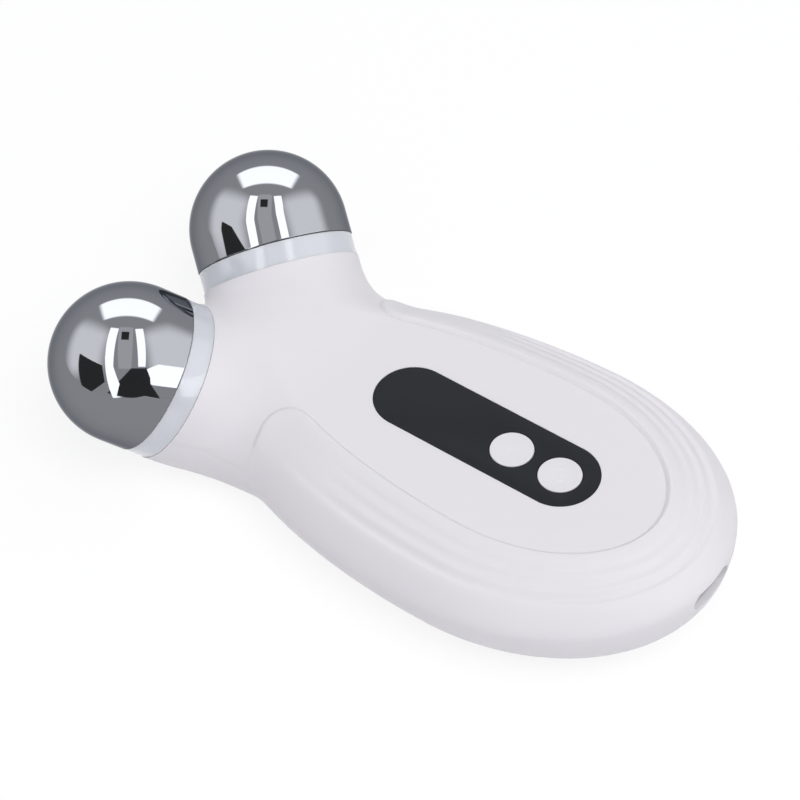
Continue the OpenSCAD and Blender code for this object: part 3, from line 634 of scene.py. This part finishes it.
def neck_hollow():
    hollow = forked_end("neck_hollow", 0.0, WALL, 72, 60)
    bm = bmesh.new()
    bmesh.ops.create_cube(bm, size=1.0)
    bmesh.ops.scale(bm, verts=bm.verts, vec=(0.12, 0.06 + RIM_EXIT * MM, 0.02))
    bmesh.ops.translate(bm, verts=bm.verts,
                        vec=(0, (RIM_EXIT - 60) * MM / 2, (PLATE_Z + 10) * MM))
    block = mesh_of(bm, "plate_block")
    cut(hollow, block, "DIFFERENCE")
    discard(block)
    return hollow


def spigot_seat(side):
    bm = bmesh.new()
    bmesh.ops.create_cone(bm, cap_ends=True, segments=96, radius1=0.013, radius2=0.013, depth=0.0034)
    bmesh.ops.translate(bm, verts=bm.verts, vec=(0, 0, -0.0007))
    bmesh.ops.transform(bm, matrix=head_matrix(side), verts=bm.verts)
    return mesh_of(bm, "spigot_seat")


inside_tools = [egg_hollow(), neck_hollow(), spigot_seat(1), spigot_seat(-1)]
collar_tools = [past_collar(1), past_collar(-1)]
print("inside tools:", [tool.name for tool in inside_tools])

# %% [markdown]
# The charging port is a short pill-shaped slot through the end wall. Its cutter is a cylinder
# stretched between two centres: the half of the vertices on each side moves apart.

# %% Port cutter
PORT_W, PORT_H, PORT_Z, PORT_END = 10.4, 3.8, 14.0, -40.1


def slot_cutter(width, height, low, high):
    bm = bmesh.new()
    bmesh.ops.create_cone(bm, cap_ends=True, segments=64, radius1=height / 2 * MM,
                          radius2=height / 2 * MM, depth=(high - low) * MM)
    bmesh.ops.rotate(bm, verts=bm.verts, cent=(0, 0, 0),
                     matrix=Matrix.Rotation(math.radians(90), 3, "X"))
    for side in (-1, 1):
        half = [v for v in bm.verts if v.co.x * side > 1e-7]
        bmesh.ops.translate(bm, verts=half, vec=(side * (width - height) / 2 * MM, 0, 0))
    bmesh.ops.translate(bm, verts=bm.verts, vec=(0, (low + high) / 2 * MM, PORT_Z * MM))
    return mesh_of(bm, "port_slot")


port_tool = slot_cutter(PORT_W, PORT_H, PORT_END - 1, PORT_END + 7)
print("port slot:", PORT_W, "x", PORT_H, "mm at", PORT_Z, "mm")

# %% [markdown]
# The rear housing is one moulding: the ridged body and the forked end are united, the collars
# are cut flat, the space of the cover is taken out, and last come the hollow and the port.

# %% Rear housing
rear = ridged_body("rear_housing_skin")
fork = forked_end("fork_skin", 0.3)
cut(rear, fork, "UNION")
for tool in collar_tools:
    cut(rear, tool, "DIFFERENCE")
space = cover_space("cover_space", SEAM, PLATE_Z)
cut(rear, space, "DIFFERENCE")
for tool in inside_tools + [port_tool]:
    cut(rear, tool, "DIFFERENCE")
rear_mesh = rear.data
discard(rear, fork, space)
rear_piece = finish_mesh(rear_mesh, "rear_housing_skin", white_satin, "housing", 32)
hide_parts("rear_housing")

# %% [markdown]
# The front cover is the rest: a flat plate inside the crease that swells into the upper halves
# of the necks. The shallow recess for the dark panel is cut from the plate, with a floor that
# carries the panel's adhesive.

# %% Front cover
PANEL_L, PANEL_W, PANEL_Y = 46.3, 14.5, 8.0
FLOOR_Z = 21.65
POWER_Y = PANEL_Y - (PANEL_L - PANEL_W) / 2
LEVEL_Y = POWER_Y + 10.26


def upright_cylinder(name, x, y, radius, low, high, segments=96):
    bm = bmesh.new()
    bmesh.ops.create_cone(bm, cap_ends=True, segments=segments, radius1=radius * MM,
                          radius2=radius * MM, depth=(high - low) * MM)
    bmesh.ops.translate(bm, verts=bm.verts, vec=(x * MM, y * MM, (low + high) / 2 * MM))
    return mesh_of(bm, name)


def pill_bmesh(length, width, low, high, segments=128):
    bm = bmesh.new()
    bmesh.ops.create_cone(bm, cap_ends=True, segments=segments, radius1=width / 2 * MM,
                          radius2=width / 2 * MM, depth=(high - low) * MM)
    for side in (-1, 1):
        half = [v for v in bm.verts if v.co.y * side > 1e-7]
        bmesh.ops.translate(bm, verts=half, vec=(0, side * (length - width) / 2 * MM, 0))
    bmesh.ops.translate(bm, verts=bm.verts, vec=(0, PANEL_Y * MM, (low + high) / 2 * MM))
    return bm


neck_flat = EGG_R * math.sqrt(1 - (RIM_EXIT / EGG_HEAD) ** 2)
blank = [(-60, -60), (60, -60), (60, PLATE_FULL), (neck_flat, PLATE_FULL), (neck_flat, RIM_EXIT)]
blank += [(-x, y) for x, y in reversed(blank[2:])]
cover = prism("front_cover_skin", np.array(blank), PLATE_Z, BODY_H)
fork = forked_end("fork_skin", 0.0, start_y=PLATE_FULL - 1)
cut(cover, fork, "UNION")
for tool in collar_tools:
    cut(cover, tool, "DIFFERENCE")
space = cover_space("cover_space", 0.0, PLATE_Z)
cut(cover, space, "INTERSECT")
for tool in inside_tools:
    cut(cover, tool, "DIFFERENCE")
recess = mesh_of(pill_bmesh(PANEL_L + 0.04, PANEL_W + 0.04, FLOOR_Z, 30), "recess")
cut(cover, recess, "DIFFERENCE")
holes = [upright_cylinder("button_hole", 0, y, 4.15, 15, 30) for y in (POWER_Y, LEVEL_Y)]
for tool in holes:
    cut(cover, tool, "DIFFERENCE")
cover_mesh = cover.data
discard(cover, fork, space, recess, port_tool, *holes, *inside_tools, *collar_tools)
cover_piece = finish_mesh(cover_mesh, "front_cover_skin", white_satin, "housing", 32)
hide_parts("front_cover")

# %% [markdown]
# ## The heads
#
# A dome and its light ring are turned parts, so their natural tool is `spin`: half of the
# profile is drawn once and swept through a full turn. The mirror needs many segments, because
# a reflection shows every facet.

# %% Turned pieces
def turned(profile, matrix, steps=192):
    bm = bmesh.new()
    chain = [bm.verts.new((r * MM, 0, z * MM)) for r, z in profile]
    edges = [bm.edges.new(pair) for pair in zip(chain, chain[1:])]
    bmesh.ops.spin(bm, geom=chain + edges, cent=(0, 0, 0), axis=(0, 0, 1), angle=2 * math.pi,
                   steps=steps, use_merge=True)
    bmesh.ops.remove_doubles(bm, verts=bm.verts, dist=1e-7)
    bmesh.ops.transform(bm, matrix=matrix, verts=bm.verts)
    return bm


def arc(cx, cz, radius, start, end, steps):
    turn = np.radians(np.linspace(start, end, steps + 1))
    return [(cx + radius * math.cos(a), cz + radius * math.sin(a)) for a in turn]


def dome_profile():
    top, inner = RING_H + SKIRT, DOME_R - 1.2
    outside = arc(DOME_R - 0.2, RING_H + 0.25, 0.2, -90, 0, 6) + arc(0, top, DOME_R, 0, 90, 64)
    inside = arc(0, top, inner, 90, 0, 24) + [(inner, RING_H + 0.05)]
    outside[-1] = (0.0, top + DOME_R)
    inside[0] = (0.0, top + inner)
    return outside, inside


def ring_profile():
    ring_r, spigot, edge, gap = DOME_R - RING_INSET, 12.9, 0.12, 0.02
    return ([(1.65, 0.6), (spigot - 1.3, 0.6), (spigot - 1.3, -2.3), (spigot, -2.3), (spigot, gap)]
            + arc(ring_r - edge, gap + edge, edge, -90, 0, 5)
            + arc(ring_r - edge, RING_H - gap - edge, edge, 0, 90, 5)
            + [(13.7, RING_H - gap), (13.7, RING_H + 1.4), (12.4, RING_H + 1.4), (12.4, 2.0),
               (1.65, 2.0), (1.65, 0.6)])


# %% Domes and light rings
for side, word in ((-1, "left"), (1, "right")):
    outside, inside = dome_profile()
    bm = turned(outside + inside + [outside[0]], head_matrix(side))
    dome = finish_piece(bm, f"{word}_dome_mirror", dome_chrome, "housing", 30)
    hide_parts(f"{word}_dome")
    bm = turned(ring_profile(), head_matrix(side))
    ring = finish_piece(bm, f"{word}_frosted_ring", frosted_ring, "housing", 30)
    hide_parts(f"{word}_light_ring")

# %% [markdown]
# ## Panel and buttons
#
# The panel is a thin charcoal plate with a pill outline. A fine pale line runs round it where
# the moulding of the cover meets the cut edge of the plate. The edge is bevelled, and the bevel is
# painted pale as a painted highlight of the light it catches. The holes for the buttons are cut
# through.

# %% Dark panel
panel = mesh_of(pill_bmesh(PANEL_L, PANEL_W, FLOOR_Z + 0.2, BODY_H), "panel_plate")
holes = [upright_cylinder("button_hole", 0, y, 4.03, 15, 30, 128) for y in (POWER_Y, LEVEL_Y)]
for tool in holes:
    cut(panel, tool, "DIFFERENCE")
bm = bmesh.new()
bm.from_mesh(panel.data)
bmesh.ops.remove_doubles(bm, verts=bm.verts, dist=1e-7)
rims = [e for e in bm.edges if len(e.link_faces) == 2 and e.calc_face_angle(0) > 1.0
        and all(v.co.z > (BODY_H - 0.05) * MM for v in e.verts)]
bmesh.ops.bevel(bm, geom=rims, offset=0.18 * MM, offset_type="OFFSET", segments=3, profile=0.5,
                affect="EDGES", material=-1, clamp_overlap=True)
bm.normal_update()
# the sloping bevel faces take the pale colour, a painted highlight round the panel's edge
for face in bm.faces:
    face.material_index = int(0.15 < face.normal.z < 0.98)
print("edge faces of the panel:", sum(face.material_index for face in bm.faces))
panel_piece = finish_piece(bm, "panel_plate_finished", panel_charcoal, "housing",
                           50, panel_edge_painted_highlight)
discard(panel, *holes)
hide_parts("display_panel")

# %% [markdown]
# A button is turned as well: a face with a soft edge, a flange that holds it under the panel
# and a stem that reaches the switch. The face is dished by a few hundredths of a millimetre
# inside its rim, and the mark stands up from it without reaching the rim's height.

# %% Buttons
BUTTON_R, FLANGE_R, STEM_R = 3.95, 4.75, 1.6
FLANGE_Z, FLANGE_T, PLUNGER_TOP = 20.4, 0.8, 18.0
BUTTON_EDGE, DISH = 0.13, 0.06


def button_piece(name, node, body, y):
    face_z = BODY_H - DISH
    profile = ([(0.0, PLUNGER_TOP), (STEM_R, PLUNGER_TOP), (STEM_R, FLANGE_Z - FLANGE_T),
                (FLANGE_R, FLANGE_Z - FLANGE_T), (FLANGE_R, FLANGE_Z), (BUTTON_R, FLANGE_Z)]
               + arc(BUTTON_R - BUTTON_EDGE, BODY_H - BUTTON_EDGE, BUTTON_EDGE, 0, 90, 8)
               + [(BUTTON_R - 0.2, BODY_H), (BUTTON_R - 0.45, face_z), (0.0, face_z)])
    bm = turned(profile, Matrix.Translation((0, y * MM, 0)), 128)
    piece = finish_piece(bm, name, button_satin, body, 40)
    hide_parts(node)
    return piece


button_piece("power_button_cap", "power_button", "power_key", POWER_Y)
button_piece("level_button_cap", "level_button", "level_key", LEVEL_Y)


# %% [markdown]
# The marks are generic signs: a broken ring with a bar for power, and a plain plus for the
# level. The ring is a small rectangle spun most of the way round, and the bars are boxes.

# %% Marks on the buttons
def ring_arc(bm, y, radius, width, start, end, low, high, steps=48):
    corners = [(radius - width / 2, low), (radius + width / 2, low), (radius + width / 2, high),
               (radius - width / 2, high)]
    chain = [bm.verts.new((r * MM, 0, z * MM)) for r, z in corners]
    face = bm.faces.new(chain)
    bmesh.ops.rotate(bm, verts=chain, cent=(0, 0, 0),
                     matrix=Matrix.Rotation(math.radians(start), 3, "Z"))
    bmesh.ops.spin(bm, geom=[face], cent=(0, 0, 0), axis=(0, 0, 1),
                   angle=math.radians(end - start), steps=steps)
    bmesh.ops.translate(bm, verts=bm.verts, vec=(0, y * MM, 0))


def bar(bm, x, y, width, length, low, high):
    made = bmesh.ops.create_cube(bm, size=1.0)
    bmesh.ops.scale(bm, verts=made["verts"], vec=(width * MM, length * MM, (high - low) * MM))
    bmesh.ops.translate(bm, verts=made["verts"], vec=(x * MM, y * MM, (low + high) / 2 * MM))


MARK_LOW, MARK_HIGH, STROKE = BODY_H - 0.08, BODY_H - 0.04, 0.28
bm = bmesh.new()
ring_arc(bm, POWER_Y, 1.35, STROKE, -50, 230, MARK_LOW, MARK_HIGH)
bar(bm, 0, POWER_Y - 1.3, STROKE, 1.4, MARK_LOW, MARK_HIGH)
finish_piece(bm, "power_mark", button_mark, "power_key", 30)
bm = bmesh.new()
bar(bm, 0, LEVEL_Y, STROKE, 2.4, MARK_LOW, MARK_HIGH)
for side in (-1, 1):
    bar(bm, side * 0.67, LEVEL_Y, 1.06, STROKE, MARK_LOW, MARK_HIGH)
finish_piece(bm, "level_mark", button_mark, "level_key", 30)

# %% [markdown]
# ## Studio
#
# The object lies on a plain white floor in soft light. The camera, and whatever mirrors the
# floor or the sky, sees both as white, while the light that they shed on the object stays at
# a plain level. The floor keeps a share of its own shading, and so the object's shadow.

# %% Floor and world
def any_of(tree, names):
    path = tree.nodes.new("ShaderNodeLightPath")
    result = path.outputs[names[0]]
    for name in names[1:]:
        either = tree.nodes.new("ShaderNodeMath")
        either.operation = "MAXIMUM"
        tree.links.new(result, either.inputs[0])
        tree.links.new(path.outputs[name], either.inputs[1])
        result = either.outputs["Value"]
    return result


def floor_material():
    material = bpy.data.materials.new("studio_floor")
    material.use_nodes = True
    tree = material.node_tree
    shader = tree.nodes["Principled BSDF"]
    shader.inputs["Base Color"].default_value = (0.92, 0.92, 0.93, 1.0)
    shader.inputs["Roughness"].default_value = 0.9
    shader.inputs["Specular IOR Level"].default_value = 0.0
    share = tree.nodes.new("ShaderNodeMath")
    share.operation = "MULTIPLY"
    share.inputs[1].default_value = 0.78
    tree.links.new(any_of(tree, ("Is Camera Ray", "Is Glossy Ray", "Is Transmission Ray")),
                   share.inputs[0])
    white = tree.nodes.new("ShaderNodeEmission")
    white.inputs["Strength"].default_value = 1.06
    blend = tree.nodes.new("ShaderNodeMixShader")
    tree.links.new(share.outputs["Value"], blend.inputs["Fac"])
    tree.links.new(shader.outputs["BSDF"], blend.inputs[1])
    tree.links.new(white.outputs["Emission"], blend.inputs[2])
    tree.links.new(blend.outputs["Shader"], tree.nodes["Material Output"].inputs["Surface"])
    return material


bm = bmesh.new()
bmesh.ops.create_grid(bm, x_segments=1, y_segments=1, size=3.0)
floor = mesh_of(bm, "studio_floor")
floor.data.materials.append(floor_material())
print("floor of", floor.dimensions.x, "m")

world = bpy.data.worlds.new("studio_world")
scene.world = world
world.use_nodes = True
tree = world.node_tree
background = tree.nodes["Background"]
background.inputs["Color"].default_value = (0.97, 0.98, 1.0, 1.0)
level = tree.nodes.new("ShaderNodeMapRange")
level.inputs["To Min"].default_value = 0.57
level.inputs["To Max"].default_value = 1.0
tree.links.new(any_of(tree, ("Is Camera Ray", "Is Glossy Ray", "Is Transmission Ray")),
               level.inputs["Value"])
tree.links.new(level.outputs["Result"], background.inputs["Strength"])


# %% [markdown]
# Chrome only looks like chrome when it has something to mirror. So a panel hangs overhead, two
# tall strips stand beside the camera, wide walls fade out to the sides, and dark cards give
# the dark shapes in between. Only reflections see them: they light nothing and cast no shadow.
# Where a card sits is given as a direction from the heads, in degrees from the camera's line.

# %% Light panels and cards
def glow_material(name, strength, soft_edge):
    material = bpy.data.materials.new(name)
    material.use_nodes = True
    tree = material.node_tree
    tree.nodes.clear()
    out = tree.nodes.new("ShaderNodeOutputMaterial")
    glow = tree.nodes.new("ShaderNodeEmission")
    glow.inputs["Strength"].default_value = strength
    clear = tree.nodes.new("ShaderNodeBsdfTransparent")
    place = tree.nodes.new("ShaderNodeTexCoord")
    split = tree.nodes.new("ShaderNodeSeparateXYZ")
    tree.links.new(place.outputs["Object"], split.inputs["Vector"])
    shares = []
    for axis in ("X", "Y"):
        away = tree.nodes.new("ShaderNodeMath")
        away.operation = "ABSOLUTE"
        tree.links.new(split.outputs[axis], away.inputs[0])
        fade = tree.nodes.new("ShaderNodeMapRange")
        fade.interpolation_type = "SMOOTHSTEP"
        fade.inputs["From Min"].default_value = 1.0 - soft_edge
        fade.inputs["From Max"].default_value = 1.0
        fade.inputs["To Min"].default_value = 1.0
        fade.inputs["To Max"].default_value = 0.0
        tree.links.new(away.outputs["Value"], fade.inputs["Value"])
        shares.append(fade.outputs["Result"])
    both = tree.nodes.new("ShaderNodeMath")
    both.operation = "MULTIPLY"
    tree.links.new(shares[0], both.inputs[0])
    tree.links.new(shares[1], both.inputs[1])
    blend = tree.nodes.new("ShaderNodeMixShader")
    tree.links.new(both.outputs["Value"], blend.inputs["Fac"])
    tree.links.new(clear.outputs["BSDF"], blend.inputs[1])
    tree.links.new(glow.outputs["Emission"], blend.inputs[2])
    tree.links.new(blend.outputs["Shader"], out.inputs["Surface"])
    return material


HEADS = Vector((0.0, 0.073, 0.02))


def seen_at(azimuth, elevation, distance):
    """A point round the heads: degrees to the right of and above the camera's own line."""
    a, e = math.radians(azimuth), math.radians(elevation)
    return HEADS + distance * (RIGHT * math.sin(a) * math.cos(e) + UP * math.sin(e)
                               + BACK * math.cos(a) * math.cos(e))


def facing_card(name, azimuth, elevation, half_w, half_h, distance, material, corners=None):
    centre = seen_at(azimuth, elevation, distance)
    towards = (HEADS - centre).normalized()
    side = RIGHT.copy() if abs(elevation) > 70 else UP.cross(towards).normalized()
    top = towards.cross(side).normalized()
    bm = bmesh.new()
    bmesh.ops.create_grid(bm, x_segments=1, y_segments=1, size=1.0)
    in_order = sorted(bm.verts, key=lambda v: (v.co.y, v.co.x))
    for vert, corner in zip(in_order, corners or ()):
        vert.co.xy = corner
    piece = mesh_of(bm, name)
    piece.data.materials.append(material)
    matrix = Matrix((side * half_w, top * half_h, towards)).transposed().to_4x4()
    matrix.translation = centre
    piece.matrix_world = matrix
    piece.visible_camera = False
    piece.visible_shadow = False
    piece.visible_diffuse = False


# finish: strength and how much of the half width fades out
GLOW = {"roof": (4.7, 0.2), "strip": (4.8, 0.08), "wall": (2.5, 0.6),
        "grey": (1.4, 0.1), "black": (0.09, 0.1)}
glow = {word: glow_material(word + "_glow", *values) for word, values in GLOW.items()}
# name, azimuth, elevation, half width, half height, distance, glow
CARDS = [
    ("roof_panel", 1, 84, 0.50, 0.27, 0.80, "roof"),
    ("strip_left", -24, 20, 0.075, 0.36, 0.70, "strip"),
    ("strip_right", 20, 20, 0.07, 0.36, 0.70, "strip"),
    ("gap_grey", -3, 20, 0.13, 0.42, 0.72, "grey"),
    ("gap_hole", -4, 36, 0.06, 0.07, 0.66, "black"),
    ("front_dark", 10, -29, 0.475, 0.26, 0.66, "black"),
    ("flare_left", -22, -20, 0.17, 0.377, 0.68, "strip"),
    ("flare_right", 48, -12, 0.476, 0.317, 0.68, "strip"),
    ("low_left", -52, -14, 0.216, 0.28, 0.62, "black"),
    ("wall_left", -62, 16, 0.62, 0.62, 0.82, "wall"),
    ("wall_right", 58, 16, 0.62, 0.62, 0.82, "wall"),
]
# corners of the slanted cards in shares of their half sizes: low left, low right, top left, top right
SLANTED = {
    "front_dark": ((-0.51, -1), (0.97, -1), (-0.56, 1), (0.10, 1)),
    "flare_left": ((-1, -1), (0.3, -1), (0.05, 1), (0.65, 1)),
    "flare_right": ((-0.93, 0.53), (0.30, -0.70), (-0.71, 0.87), (0.79, -0.08)),
    "low_left": ((-0.9, -0.5), (1, -1), (-1, 0.35), (1, 1)),
}
for name, azimuth, elevation, half_w, half_h, distance, word in CARDS:
    facing_card(name, azimuth, elevation, half_w, half_h, distance, glow[word], SLANTED.get(name))
print("cards:", len(CARDS))

# %% [markdown]
# One large softbox above the port side gives the light its direction. It draws the ridges with
# soft shades. It isn't mirrored in the domes, where the cards take its place.

# %% Softbox
key = bpy.data.lights.new("key_softbox", "AREA")
key.shape = "RECTANGLE"
key.size, key.size_y = 0.8, 0.8
key.energy = 5.5
key_object = bpy.data.objects.new("key_softbox", key)
key_object.location = (-0.18, -0.52, 1.04)
key_object.visible_glossy = False
towards_body = Vector((0, 0.02, 0)) - Vector(key_object.location)
key_object.rotation_euler = towards_body.to_track_quat("-Z", "Y").to_euler()
scene.collection.objects.link(key_object)
print("softbox of", key.size, "m at", round(towards_body.length, 2), "m")
